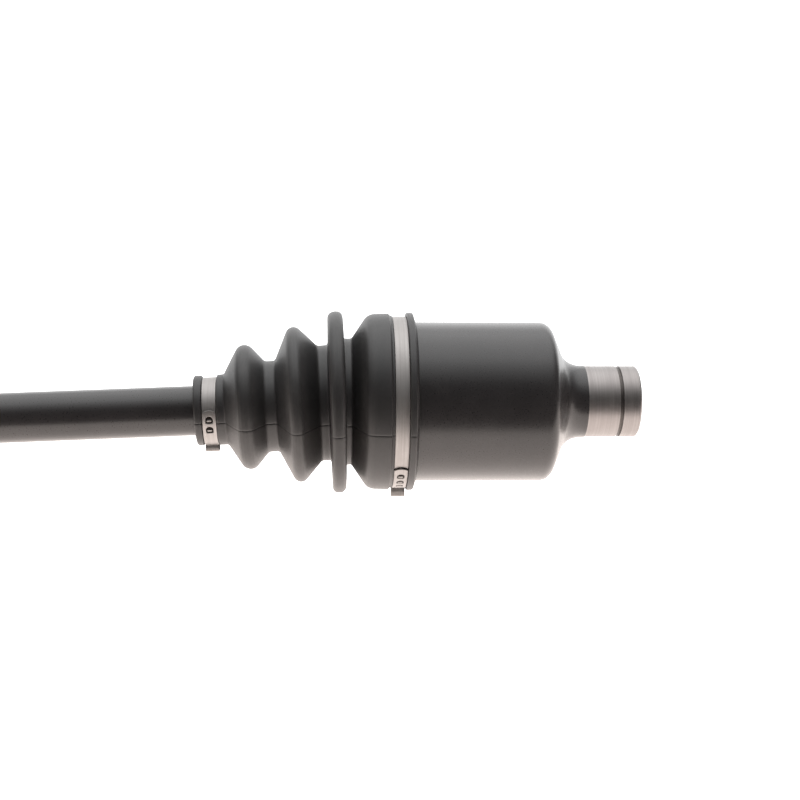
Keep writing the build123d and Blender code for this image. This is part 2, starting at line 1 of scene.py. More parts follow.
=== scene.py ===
import bmesh
import bpy
import json
import math
import numpy as np
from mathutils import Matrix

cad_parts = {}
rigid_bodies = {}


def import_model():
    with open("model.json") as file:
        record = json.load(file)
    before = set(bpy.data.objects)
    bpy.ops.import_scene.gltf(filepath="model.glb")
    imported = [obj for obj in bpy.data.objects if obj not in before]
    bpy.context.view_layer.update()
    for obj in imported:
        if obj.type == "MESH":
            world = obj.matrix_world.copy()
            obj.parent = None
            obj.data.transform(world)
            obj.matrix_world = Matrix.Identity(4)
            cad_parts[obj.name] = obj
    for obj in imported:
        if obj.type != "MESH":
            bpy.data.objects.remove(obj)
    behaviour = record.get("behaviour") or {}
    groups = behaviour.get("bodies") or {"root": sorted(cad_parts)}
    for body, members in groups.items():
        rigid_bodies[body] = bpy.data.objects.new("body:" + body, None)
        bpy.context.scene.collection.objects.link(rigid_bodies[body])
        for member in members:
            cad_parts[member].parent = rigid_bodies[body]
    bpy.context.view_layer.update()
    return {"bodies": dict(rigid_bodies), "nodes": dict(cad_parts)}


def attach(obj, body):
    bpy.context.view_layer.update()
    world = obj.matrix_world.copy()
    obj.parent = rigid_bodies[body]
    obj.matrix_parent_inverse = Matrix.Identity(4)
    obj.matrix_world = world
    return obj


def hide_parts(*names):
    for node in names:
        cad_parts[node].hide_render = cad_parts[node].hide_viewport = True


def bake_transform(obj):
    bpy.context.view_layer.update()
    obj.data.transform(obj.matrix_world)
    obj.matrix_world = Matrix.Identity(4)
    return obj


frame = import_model()
nodes = frame["nodes"]
bodies = frame["bodies"]
scene = bpy.context.scene
mm = 0.001
print("frame loaded:", len(nodes), "nodes")

# where the axle's parts stand, in metres; the bar leaves the inner joint bent down a little
axle = {
    "innerJoint": -0.082063,      # on the housing's axis, which is the x axis
    "restBend": math.radians(2.18),
    "jointSpacing": 0.400,
    "stubStart": -0.00795,        # where black paint ends and the ground stub begins
    "hubStart": -0.0443,          # along the outer joint's axis, where the bell's paint ends
}


# ---------- surfaces ----------

def roundedPath(corners, step=1.6, arcPoints=7):
    # Closed outline through corners (x, r, fillet), all in mm. Each corner is cut back along both sides by
    # fillet * tan(half the turn), and an arc of that radius is swung from one cut to the other. Then the
    # whole outline is filled with points no further than step apart, counted along its length.
    pts = np.array(corners, dtype=float)
    place, fillet = pts[:, :2], pts[:, 2]
    back = place - np.roll(place, 1, axis=0)
    ahead = np.roll(place, -1, axis=0) - place
    backLength = np.linalg.norm(back, axis=1)
    aheadLength = np.linalg.norm(ahead, axis=1)
    into = back / backLength[:, None]
    out = ahead / aheadLength[:, None]
    turn = np.arccos(np.clip((into * out).sum(axis=1), -0.9999, 0.9999))
    cut = np.minimum(fillet * np.tan(turn / 2), 0.48 * np.minimum(backLength, aheadLength))
    radius = cut / np.tan(turn / 2)
    inward = (out - into) / np.linalg.norm(out - into, axis=1)[:, None]
    centre = place + inward * (radius / np.cos(turn / 2))[:, None]
    first = place - into * cut[:, None] - centre
    last = place + out * cut[:, None] - centre
    share = np.linspace(0, 1, arcPoints)[None, :, None]
    swing = turn[:, None, None]
    arc = (np.sin((1 - share) * swing) * first[:, None] + np.sin(share * swing) * last[:, None]) / np.sin(swing)
    path = (centre[:, None] + arc).reshape(-1, 2)
    path = np.vstack([path, path[:1]])
    gone = np.concatenate([[0], np.cumsum(np.linalg.norm(np.diff(path, axis=0), axis=1))])
    stops = np.union1d(np.round(gone, 4), np.arange(0, gone[-1], step))[:-1]
    return np.interp(stops, gone, path[:, 0]), np.interp(stops, gone, path[:, 1])


def smoothStep(value, start, end):
    # 0 before start, 1 past end, and 3s^2 - 2s^3 of the share s between them
    share = np.clip((value - start) / (end - start), 0, 1)
    return share * share * (3 - 2 * share)


def closedGrid(grid, closeAlong):
    # Points and faces of a closed shell from a grid. Columns go round and come back to their start, and so
    # do rows if closeAlong is set. The faces are turned over if the volume they hold comes out negative.
    rows, columns = grid.shape[:2]
    index = np.arange(rows * columns).reshape(rows, columns)
    below = np.roll(index, -1, axis=0)
    quads = np.stack([index, np.roll(index, -1, axis=1), np.roll(below, -1, axis=1), below], axis=-1)
    if not closeAlong:
        quads = quads[:-1]
    quads = quads.reshape(-1, 4)
    flat = grid.reshape(-1, 3)
    corner = flat[quads]
    volume = np.einsum("ij,ij->i", corner[:, 0], np.cross(corner[:, 1], corner[:, 2])).sum()
    volume += np.einsum("ij,ij->i", corner[:, 0], np.cross(corner[:, 2], corner[:, 3])).sum()
    return flat, quads[:, ::-1] if volume < 0 else quads


def meshPiece(name, shells):
    # one object from several closed shells
    counts = np.cumsum([0] + [len(points) for points, faces in shells])
    points = np.concatenate([points for points, faces in shells])
    quads = np.concatenate([faces + start for (shellPoints, faces), start in zip(shells, counts)])
    mesh = bpy.data.meshes.new(name)
    mesh.vertices.add(len(points))
    mesh.vertices.foreach_set("co", points.ravel())
    mesh.loops.add(quads.size)
    mesh.loops.foreach_set("vertex_index", quads.ravel())
    mesh.polygons.add(len(quads))
    mesh.polygons.foreach_set("loop_start", np.arange(0, quads.size, 4))
    mesh.update(calc_edges=True)
    mesh.shade_smooth()
    piece = bpy.data.objects.new(name, mesh)
    scene.collection.objects.link(piece)
    return piece


def mergeRims(piece):
    # a sheet's two sides meet at its rim, and their points there become one
    work = bmesh.new()
    work.from_mesh(piece.data)
    bmesh.ops.remove_doubles(work, verts=work.verts, dist=1e-7)
    work.to_mesh(piece.data)
    work.free()


def partingAngles(partings, count=144):
    # angles round the axis, evenly spread, with more of them close to each parting line
    even = np.linspace(0, 2 * math.pi, count, endpoint=False)
    close = np.radians([-4, -2.6, -1.7, -1.1, -0.7, -0.35, 0, 0.35, 0.7, 1.1, 1.7, 2.6, 4])
    extra = np.concatenate([math.radians(parting) + close for parting in partings])
    return np.union1d(np.round(even, 6), np.round(extra % (2 * math.pi), 6))


def bentOnAxle(x, y, z, bendStart, bendEnd):
    # points given along a straight axle, in mm from the inner joint, are turned about that joint by the
    # rest bend times a smooth step that goes from bendStart to bendEnd
    bend = axle["restBend"] * smoothStep(x, bendStart, bendEnd)
    bentX = x * np.cos(bend) - z * np.sin(bend)
    bentZ = x * np.sin(bend) + z * np.cos(bend)
    return np.stack([bentX * mm + axle["innerJoint"], y * mm, bentZ * mm], axis=-1)


# ---------- shader helpers ----------

def newMaterial(name):
    material = bpy.data.materials.new(name)
    material.use_nodes = True
    tree = material.node_tree
    return material, tree, tree.nodes["Principled BSDF"]


def addNode(tree, kind, settings=None, **links):
    # a node with its properties set, and its inputs joined to a socket or given a value
    node = tree.nodes.new(kind)
    for key, value in (settings or {}).items():
        setattr(node, key, value)
    for key, value in links.items():
        socket = node.inputs[int(key[1:])] if key[0] == "i" and key[1:].isdigit() else node.inputs[key]
        if isinstance(value, bpy.types.NodeSocket):
            tree.links.new(value, socket)
        else:
            socket.default_value = value
    return node


def maths(tree, operation, first, second=0.0, third=0.0):
    return addNode(tree, "ShaderNodeMath", {"operation": operation}, i0=first, i1=second, i2=third).outputs[0]


def mixColour(tree, factor, first, second, blend="MIX"):
    node = addNode(tree, "ShaderNodeMix", {"data_type": "RGBA", "blend_type": blend})
    for index, value in ((0, factor), (6, first), (7, second)):
        if isinstance(value, bpy.types.NodeSocket):
            tree.links.new(value, node.inputs[index])
        elif index:
            node.inputs[index].default_value = (*value, 1)
        else:
            node.inputs[index].default_value = value
    return node.outputs[2]


def mapRange(tree, value, start, end, low=0.0, high=1.0, smooth=True):
    kind = "SMOOTHSTEP" if smooth else "LINEAR"
    node = addNode(tree, "ShaderNodeMapRange", {"interpolation_type": kind}, i0=value, i1=start, i2=end, i3=low, i4=high)
    return node.outputs[0]


def newGroup(name, inputs, outputs):
    group = bpy.data.node_groups.new(name, "ShaderNodeTree")
    for label, kind, value in inputs:
        socket = group.interface.new_socket(label, in_out="INPUT", socket_type=kind)
        if value is not None:
            socket.default_value = value
    for label, kind in outputs:
        group.interface.new_socket(label, in_out="OUTPUT", socket_type=kind)
    return group, group.nodes.new("NodeGroupInput").outputs, group.nodes.new("NodeGroupOutput").inputs


def useGroup(tree, group, **values):
    node = addNode(tree, "ShaderNodeGroup", {"node_tree": group})
    for key, value in values.items():
        if isinstance(value, bpy.types.NodeSocket):
            tree.links.new(value, node.inputs[key])
        else:
            node.inputs[key].default_value = value
    return node.outputs


def objectPlace(tree):
    return tree.nodes.new("ShaderNodeTexCoord").outputs["Object"]


# mottle: slow cloudiness and fine grain of a moulded or painted skin, as one mask and one height
mottle, given, put = newGroup(
    "mottle",
    [("Place", "NodeSocketVector", None), ("CloudScale", "NodeSocketFloat", 40.0), ("GrainScale", "NodeSocketFloat", 900.0)],
    [("Cloud", "NodeSocketFloat"), ("Grain", "NodeSocketFloat"), ("Height", "NodeSocketFloat")],
)
cloud = addNode(mottle, "ShaderNodeTexNoise", Vector=given["Place"], Scale=given["CloudScale"], Detail=4.0, Roughness=0.6)
grain = addNode(mottle, "ShaderNodeTexNoise", Vector=given["Place"], Scale=given["GrainScale"], Detail=3.0, Roughness=0.55)
mottle.links.new(mapRange(mottle, cloud.outputs["Fac"], 0.32, 0.68), put["Cloud"])
mottle.links.new(mapRange(mottle, grain.outputs["Fac"], 0.3, 0.7), put["Grain"])
both = maths(mottle, "ADD", maths(mottle, "MULTIPLY", cloud.outputs["Fac"], 0.35), maths(mottle, "MULTIPLY", grain.outputs["Fac"], 0.65))
mottle.links.new(both, put["Height"])

# turned: fine lathe or grinding lines square to an axis, from noise squeezed along it
turned, given, put = newGroup(
    "turned",
    [("Along", "NodeSocketFloat", 0.0), ("Place", "NodeSocketVector", None), ("LinesPerMetre", "NodeSocketFloat", 6000.0)],
    [("Lines", "NodeSocketFloat"), ("Bands", "NodeSocketFloat")],
)
split = addNode(turned, "ShaderNodeSeparateXYZ", Vector=given["Place"])
squeezed = addNode(
    turned, "ShaderNodeCombineXYZ",
    X=maths(turned, "MULTIPLY", given["Along"], given["LinesPerMetre"]),
    Y=maths(turned, "MULTIPLY", split.outputs["Y"], 25.0),
    Z=maths(turned, "MULTIPLY", split.outputs["Z"], 25.0),
)
fine = addNode(turned, "ShaderNodeTexNoise", Vector=squeezed.outputs[0], Scale=1.0, Detail=2.0)
coarse = addNode(turned, "ShaderNodeTexNoise", Vector=squeezed.outputs[0], Scale=0.08, Detail=2.0)
turned.links.new(mapRange(turned, fine.outputs["Fac"], 0.3, 0.7), put["Lines"])
turned.links.new(mapRange(turned, coarse.outputs["Fac"], 0.3, 0.7), put["Bands"])

# rubbed: where handling has left a thin scuff, from a scratch-like noise cut off high
rubbed, given, put = newGroup(
    "rubbed",
    [("Place", "NodeSocketVector", None), ("Scale", "NodeSocketFloat", 60.0), ("Amount", "NodeSocketFloat", 0.5)],
    [("Mask", "NodeSocketFloat")],
)
stretched = addNode(rubbed, "ShaderNodeMapping", Vector=given["Place"], Scale=(1.0, 0.35, 0.35))
scuff = addNode(rubbed, "ShaderNodeTexNoise", Vector=stretched.outputs[0], Scale=given["Scale"], Detail=8.0, Roughness=0.75)
scuffMask = mapRange(rubbed, scuff.outputs["Fac"], 0.58, 0.78)
rubbed.links.new(maths(rubbed, "MULTIPLY", scuffMask, given["Amount"]), put["Mask"])


def bump(tree, height, strength, distance):
    return addNode(tree, "ShaderNodeBump", Height=height, Strength=strength, Distance=distance).outputs[0]


def give(name, material):
    node = nodes[name]
    for slot in node.material_slots:
        slot.material = material


# ---------- finishes ----------

paint = {
    "dark": (0.0165, 0.0148, 0.0152),
    "light": (0.0225, 0.0203, 0.0207),
    "roughness": (0.27, 0.34),
    "scuffColour": (0.07, 0.066, 0.062),
}
bright = {
    "dark": (0.22, 0.205, 0.2),
    "light": (0.262, 0.247, 0.241),
    "stain": (0.17, 0.153, 0.146),
    "roughness": (0.40, 0.49),
    "linesPerMetre": 5200.0,
    "grooveFrom": 0.00795,        # snap ring groove in the stub, darkened inside by painted shade
    "grooveTo": 0.0098,
}


def forgedMaterial(name, axisPoint, axisTurn, brightFrom, brightSide):
    # satin black paint with a ground bright end: brightFrom is counted in metres along the piece's axis
    material, tree, shader = newMaterial(name)
    place = objectPlace(tree)
    moved = addNode(tree, "ShaderNodeMapping", {"vector_type": "TEXTURE"}, Vector=place, Location=axisPoint, Rotation=(0, axisTurn, 0))
    onAxis = moved.outputs[0]
    along = addNode(tree, "ShaderNodeSeparateXYZ", Vector=onAxis).outputs["X"]
    edge = 0.00012
    mask = mapRange(tree, maths(tree, "MULTIPLY", along, brightSide), brightFrom * brightSide, brightFrom * brightSide + edge)
    skin = useGroup(tree, mottle, Place=onAxis, CloudScale=38.0, GrainScale=1400.0)
    lines = useGroup(tree, turned, Along=along, Place=onAxis, LinesPerMetre=bright["linesPerMetre"])
    scuffs = useGroup(tree, rubbed, Place=onAxis, Scale=55.0, Amount=0.22)
    black = mixColour(tree, skin["Cloud"], paint["dark"], paint["light"])
    black = mixColour(tree, scuffs["Mask"], black, paint["scuffColour"])
    steel = mixColour(tree, lines["Lines"], bright["dark"], bright["light"])
    steel = mixColour(tree, maths(tree, "MULTIPLY", skin["Cloud"], 0.25), steel, bright["stain"])
    # painted shade: the snap ring groove is darkened in the colour, standing in for the shade inside it
    grooveShade = maths(tree, "MULTIPLY", mapRange(tree, along, bright["grooveFrom"], bright["grooveFrom"] + edge),
                     mapRange(tree, along, bright["grooveTo"], bright["grooveTo"] - edge))
    steel = mixColour(tree, maths(tree, "MULTIPLY", grooveShade, 0.8), steel, (0.05, 0.044, 0.04))
    tree.links.new(mixColour(tree, mask, black, steel), shader.inputs["Base Color"])
    paintRough = mapRange(tree, skin["Grain"], 0, 1, *paint["roughness"], smooth=False)
    steelRough = mapRange(tree, lines["Bands"], 0, 1, *bright["roughness"], smooth=False)
    rough = addNode(tree, "ShaderNodeMix", {"data_type": "FLOAT"}, i0=mask, i2=paintRough, i3=steelRough)
    tree.links.new(rough.outputs[0], shader.inputs["Roughness"])
    tree.links.new(mask, shader.inputs["Metallic"])
    height = addNode(tree, "ShaderNodeMix", {"data_type": "FLOAT"}, i0=mask, i2=skin["Height"], i3=lines["Lines"])
    tree.links.new(bump(tree, height.outputs[0], 0.1, 0.00002), shader.inputs["Normal"])
    shader.inputs["Specular IOR Level"].default_value = 0.5
    return material


def plainSteel(name, dark, light, roughness, scale, metallic=1.0, strength=0.25):
    # metal with a cloudy tone and a fine grain in its gloss
    material, tree, shader = newMaterial(name)
    place = objectPlace(tree)
    skin = useGroup(tree, mottle, Place=place, CloudScale=scale, GrainScale=scale * 22)
    scuffs = useGroup(tree, rubbed, Place=place, Scale=scale * 2, Amount=0.35)
    tone = mixColour(tree, skin["Cloud"], dark, light)
    tone = mixColour(tree, scuffs["Mask"], tone, tuple(min(1.0, level * 1.25) for level in light))
    tree.links.new(tone, shader.inputs["Base Color"])
    tree.links.new(mapRange(tree, skin["Grain"], 0, 1, *roughness, smooth=False), shader.inputs["Roughness"])
    tree.links.new(bump(tree, skin["Height"], strength, 0.00003), shader.inputs["Normal"])
    shader.inputs["Metallic"].default_value = metallic
    return material


def rubberMaterial(name):
    # matt moulded rubber: cloudy, finely grained, greyer where its folds rub; painted shade darkens its mould line
    # groove, and painted warm light from the floor lightens its lower half
    material, tree, shader = newMaterial(name)
    place = objectPlace(tree)
    skin = useGroup(tree, mottle, Place=place, CloudScale=60.0, GrainScale=2600.0)
    worn = addNode(tree, "ShaderNodeAttribute", {"attribute_name": "crest"}).outputs["Fac"]
    line = addNode(tree, "ShaderNodeAttribute", {"attribute_name": "mouldLine"}).outputs["Fac"]
    underPaintedLight = addNode(tree, "ShaderNodeAttribute", {"attribute_name": "underSidePaintedLight"}).outputs["Fac"]
    tone = mixColour(tree, skin["Cloud"], (0.0115, 0.0107, 0.011), (0.0175, 0.0163, 0.0166))
    # painted light: the lower half, below the mould line, is lightened to a warm grey as if lit from the floor
    tone = mixColour(tree, maths(tree, "MULTIPLY", underPaintedLight, 0.2), tone, (0.034, 0.031, 0.029))
    dusty = maths(tree, "MULTIPLY", worn, mapRange(tree, skin["Cloud"], 0, 1, 0.25, 0.7, smooth=False))
    tone = mixColour(tree, dusty, tone, (0.036, 0.034, 0.033))
    # painted shade: the mould line groove is darkened in the colour
    tone = mixColour(tree, maths(tree, "MULTIPLY", line, 0.85), tone, (0.006, 0.0057, 0.0055))
    tree.links.new(tone, shader.inputs["Base Color"])
    tree.links.new(mapRange(tree, skin["Grain"], 0, 1, 0.42, 0.54, smooth=False), shader.inputs["Roughness"])
    tree.links.new(bump(tree, skin["Height"], 0.4, 0.00004), shader.inputs["Normal"])
    shader.inputs["Specular IOR Level"].default_value = 0.5
    return material


def bandMaterial(name):
    # rolled stainless strip: fine lines that run round the band
    material, tree, shader = newMaterial(name)
    place = objectPlace(tree)
    along = addNode(tree, "ShaderNodeSeparateXYZ", Vector=place).outputs["X"]
    lines = useGroup(tree, turned, Along=along, Place=place, LinesPerMetre=7000.0)
    skin = useGroup(tree, mottle, Place=place, CloudScale=90.0, GrainScale=2000.0)
    tone = mixColour(tree, lines["Lines"], (0.27, 0.257, 0.25), (0.325, 0.312, 0.304))
    tone = mixColour(tree, maths(tree, "MULTIPLY", skin["Cloud"], 0.3), tone, (0.22, 0.205, 0.197))
    # painted shade: the hook windows and the lap's free end are darkened in the colour, read from the attribute the
    # clamp carries
    recessAndPaintedShade = addNode(tree, "ShaderNodeAttribute", {"attribute_name": "recessAndPaintedShade"}).outputs["Fac"]
    tone = mixColour(tree, recessAndPaintedShade, tone, (0.02, 0.017, 0.016))
    tree.links.new(tone, shader.inputs["Base Color"])
    tree.links.new(mapRange(tree, lines["Bands"], 0, 1, 0.46, 0.56, smooth=False), shader.inputs["Roughness"])
    tree.links.new(bump(tree, lines["Lines"], 0.2, 0.00002), shader.inputs["Normal"])
    shader.inputs["Metallic"].default_value = 1.0
    return material


outerPlace = (
    axle["innerJoint"] - axle["jointSpacing"] * math.cos(axle["restBend"]),
    0.0,
    -axle["jointSpacing"] * math.sin(axle["restBend"]),
)
innerForged = forgedMaterial("satinBlackAndGroundStub", (0, 0, 0), 0, axle["stubStart"], 1)
outerForged = forgedMaterial("satinBlackAndMachinedHub", outerPlace, -axle["restBend"], axle["hubStart"], -1)
barPaint = forgedMaterial("satinBlackBar", (0, 0, 0), -axle["restBend"], 10.0, 1)
rubber = rubberMaterial("mouldedRubber")
stainless = bandMaterial("rolledStainless")
groundSteel = plainSteel("groundSteel", (0.36, 0.35, 0.34), (0.5, 0.49, 0.47), (0.24, 0.36), 45.0)
ballSteel = plainSteel("ballSteel", (0.6, 0.59, 0.58), (0.7, 0.69, 0.68), (0.06, 0.12), 60.0, strength=0.08)
springSteel = plainSteel("springSteel", (0.1, 0.095, 0.09), (0.17, 0.16, 0.15), (0.38, 0.5), 80.0)

give("inner_housing", innerForged)
give("outer_housing", outerForged)
give("shaft_bar", barPaint)
for name in ("inner_race", "outer_race", "inner_cage", "outer_cage"):
    give(name, groundSteel)
for number in range(1, 7):
    give(f"inner_ball_{number}", ballSteel)
    give(f"outer_ball_{number}", ballSteel)
for name in ("inner_race_circlip", "outer_race_circlip", "inner_stop_ring"):
    give(name, springSteel)
print("finishes given")


# ---------- boots ----------

def bootShell(name, corners, mould, bendStart, bendEnd, shift=0.0, lean=((0.0, 0.0),), rise=((0.0, 0.0),)):
    # A rubber boot turned from its outline. Each outline point (x, r) goes round the axis at every angle a,
    # as (x, r cos a, r sin a). The mould line takes depth * exp(-(arc / width)^2) off r on the outside,
    # where arc is how far round the point is from the line. Each ring then leans by x - tan(lean) * z, with
    # lean in degrees read along the boot from the pairs (x, lean), and sits higher by rise, read the same way.
    x, r = roundedPath(corners)
    area = np.roll(x, -1) * r - x * np.roll(r, -1)
    if area.sum() < 0:
        x, r = x[::-1], r[::-1]
    angle = partingAngles(mould["angles"])
    tangentX = np.roll(x, -1) - np.roll(x, 1)
    outside = smoothStep(np.abs(tangentX) * np.sign(-tangentX), -0.2, 0.4)
    if (outside * r).sum() / outside.sum() < ((1 - outside) * r).sum() / (1 - outside).sum():
        outside = 1 - outside
    arcs = [np.angle(np.exp(1j * (angle - math.radians(place)))) for place in mould["angles"]]
    nearest = np.min(np.abs(arcs), axis=0)
    groove = np.exp(-((nearest[None, :] * r[:, None] / mould["width"]) ** 2)) * outside[:, None]
    radius = r[:, None] - mould["depth"] * groove
    alongX = np.repeat(x[:, None], len(angle), axis=1) + shift
    y = radius * np.cos(angle)
    z = radius * np.sin(angle)
    leanAt = np.interp(alongX, *np.array(sorted(lean), dtype=float).T)
    z = z + np.interp(alongX, *np.array(sorted(rise), dtype=float).T)
    alongX = alongX - np.tan(np.radians(leanAt)) * z
    grid = bentOnAxle(alongX, y, z, bendStart, bendEnd)
    piece = meshPiece(name, [closedGrid(grid, True)])
    curl = np.abs(np.roll(r, -3) + np.roll(r, 3) - 2 * r) * (np.roll(r, -3) + np.roll(r, 3) < 2 * r)
    crest = np.clip(curl / 1.6, 0, 1) * outside
    # the lower half, below the mould line, gets painted floor light in the rubber's colour, and the mould line groove
    # gets painted shade
    seamTurn = np.radians(np.array(mould["angles"], dtype=float))
    below = np.sin(angle - seamTurn.min())
    shades = {
        "crest": np.repeat(crest[:, None], len(angle), axis=1),
        "mouldLine": groove,
        "underSidePaintedLight": np.repeat(smoothStep(-below, -0.004, 0.004)[None, :], len(x), axis=0),
    }
    for label, values in shades.items():
        layer = piece.data.attributes.new(label, "FLOAT", "POINT")
        layer.data.foreach_set("value", values.astype(np.float32).ravel())
    piece.data.materials.append(rubber)
    return piece


mouldLine = {"angles": (22.0, 202.0), "depth": 0.22, "width": 0.3}

# outline of the gearbox side boot: mm from the inner joint, mm from the axis, fillet
innerBootShape = {
    "outside": [
        (-11.5, 40.05, 0.2), (-12.9, 44.65, 0.9), (-16.1, 44.65, 0.7), (-16.1, 41.8, 0.2), (-23.3, 41.8, 0.2),
        (-23.3, 43.35, 0.35), (-24.2, 43.35, 0.3), (-25.1, 44.3, 0.5), (-35.3, 43.95, 6.5), (-43.4, 31.7, 1.4),
        (-46.8, 31.9, 0.8), (-46.8, 45.6, 3.1), (-54.0, 45.6, 3.1), (-54.4, 29.0, 1.2), (-59.3, 29.0, 2.2),
        (-71.5, 42.1, 4.0), (-80.5, 22.85, 1.8), (-85.6, 22.85, 2.5), (-96.0, 34.7, 4.9), (-105.9, 17.75, 1.2),
        (-109.9, 17.6, 0.6), (-109.9, 15.75, 0.2), (-117.1, 15.75, 0.2), (-117.1, 17.5, 0.9), (-121.1, 17.5, 1.2),
    ],
    "inside": [
        (-121.1, 12.55, 0.2), (-107.5, 12.55, 0.5), (-104.2, 14.0, 2.0), (-96.2, 30.2, 3.0), (-79.0, 14.5, 5.5),
        (-71.0, 36.7, 1.5), (-56.4, 24.8, 2.0), (-44.4, 27.9, 2.0), (-36.0, 39.6, 2.0), (-27.5, 40.05, 0.5),
    ],
    "lean": (
        (-122.0, 1.4), (-119.0, 1.4), (-117.4, 0.0), (-109.8, 0.0), (-105.0, 2.0), (-95.0, 1.1), (-83.0, 1.6),
        (-72.0, 2.5), (-58.0, 2.4), (-51.0, 1.3), (-46.8, 1.3), (-43.0, 0.0),
    ),
    "rise": ((-108.0, 0.0), (-97.0, 0.7), (-83.0, -0.25), (-72.0, -0.45), (-58.0, -0.55), (-51.0, -0.25), (-43.0, 0.0)),
    "bendStart": 45.0,            # where the rest bend begins and is complete, from the inner joint
    "bendEnd": 105.0,
    "followStart": 24.0,          # where the rubber begins to go with the bar when the joint moves
    "followEnd": 70.0,
}


innerBoot = bootShell(
    "innerBoot",
    innerBootShape["outside"] + innerBootShape["inside"],
    mouldLine,
    -innerBootShape["bendStart"],
    -innerBootShape["bendEnd"],
    lean=innerBootShape["lean"],
    rise=innerBootShape["rise"],
)
# the boot is held by the housing, and its small cuff goes where the bar goes
points = np.empty(len(innerBoot.data.vertices) * 3)
innerBoot.data.vertices.foreach_get("co", points)
alongBoot = (points[::3] - axle["innerJoint"]) / mm
follow = smoothStep(-alongBoot, innerBootShape["followStart"], innerBootShape["followEnd"])
shaftGroup = innerBoot.vertex_groups.new(name="followShaft")
levels = 40
for level in range(1, levels + 1):
    picked = np.flatnonzero(np.round(follow * levels) == level)
    shaftGroup.add(picked.tolist(), level / levels, "REPLACE")
hook = innerBoot.modifiers.new("followShaft", "HOOK")
hook.object = bodies["shaft"]
hook.vertex_group = shaftGroup.name
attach(innerBoot, "inner_housing")
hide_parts("inner_boot")

# outline of the wheel side boot: mm from the outer joint towards the bar, mm from the axis, fillet
outerBootShape = {
    "folds": 5,
    "firstFold": 27.0,
    "pitch": 13.0,
    "crests": (45.6, 29.6),
    "valleys": (33.2, 20.6),
    "wall": 2.6,
}
foldCount = outerBootShape["folds"]
foldPlace = outerBootShape["firstFold"] + outerBootShape["pitch"] * np.arange(foldCount)
crestRadius = np.linspace(*outerBootShape["crests"], foldCount)
valleyRadius = np.linspace(*outerBootShape["valleys"], foldCount)
foldCorners = [
    corner
    for place, crestR, valleyR in zip(foldPlace.tolist(), crestRadius.tolist(), valleyRadius.tolist())
    for corner in ((place, crestR, 2.6), (place + outerBootShape["pitch"] / 2, valleyR, 2.2))
]
cupAndFolds = [(0.0, 43.1, 0.2), (0.0, 46.7, 1.2), (3.8, 46.7, 0.6), (3.8, 44.9, 0.2), (11.2, 44.9, 0.2), (11.2, 46.6, 0.6),
               (17.0, 46.2, 2.6), (20.5, 34.0, 1.8)] + foldCorners
cuff = [(95.5, 18.2, 2.0), (99.3, 17.6, 0.6), (99.3, 15.75, 0.2), (106.7, 15.75, 0.2), (106.7, 17.6, 0.8), (111.6, 17.6, 1.0),
        (111.6, 12.55, 0.2), (94.0, 12.55, 1.0)]
innerFolds = [(place, radius - outerBootShape["wall"], fillet) for place, radius, fillet in reversed(foldCorners)]
outerCorners = cupAndFolds + cuff + innerFolds + [(20.5, 30.6, 1.0), (17.5, 33.0, 1.0), (17.3, 43.1, 0.4)]
outerBoot = bootShell("outerBoot", outerCorners, mouldLine, -1.0, -2.0, shift=-axle["jointSpacing"] / mm)


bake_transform(outerBoot)
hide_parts("outer_boot")
print("boots made:", len(innerBoot.data.polygons), len(outerBoot.data.polygons))


# ---------- band clamps ----------

# one strip each: a plain band, and over it the lapped end with hook windows, folded up into an ear
clampStrip = {
    "width": 7.0,
    "thickness": 0.7,
    "edgeRound": 14,              # power that rounds the strip's edges
    "freeEndSag": 1.35,           # how far the lap's free end bulges
    "windowWidth": 3.7,
    "windowDepth": 0.6,
    "hookWidth": 2.6,
    "hookRise": 0.1,
    "earAt": 278.0,               # degrees round the axis from +y, 270 is straight down
    "earWidth": 5.6,
    "lapEnd": 292.0,
    "fine": 0.18,                 # mm between points along the strip
}

# along: mm from the inner joint; radius: outside of the plain band; lap and windows in degrees round the axis; the last
# value sets how strong the painted shadow on the lap's free end is
clamps = {
    "innerLargeClamp": {
        "node": "inner_large_clamp", "body": "inner_housing", "along": -19.7, "bent": False, "radius": 42.7,
        "lapStart": 228.4, "windows": (238.0, 246.6, 255.2), "windowLength": 4.3, "earHeight": 6.0, "paintedEndShadow": 1.0,
    },
    "innerSmallClamp": {
        "node": "inner_small_clamp", "body": "shaft", "along": -113.5, "bent": True, "radius": 16.5,
        "lapStart": 180.0, "windows": (196.6, 214.7), "windowLength": 3.7, "earHeight": 4.3, "paintedEndShadow": 0.15,
    },
    "outerLargeClamp": {
        "node": "outer_large_clamp", "body": "outer_housing", "along": -392.5, "bent": True, "radius": 45.8,
        "lapStart": 228.4, "windows": (238.0, 246.6, 255.2), "windowLength": 4.3, "earHeight": 6.0, "paintedEndShadow": 1.0,
    },
    "outerSmallClamp": {
        "node": "outer_small_clamp", "body": "shaft", "along": -297.0, "bent": True, "radius": 16.5,
        "lapStart": 180.0, "windows": (196.6, 214.7), "windowLength": 3.7, "earHeight": 4.3, "paintedEndShadow": 0.15,
    },
}


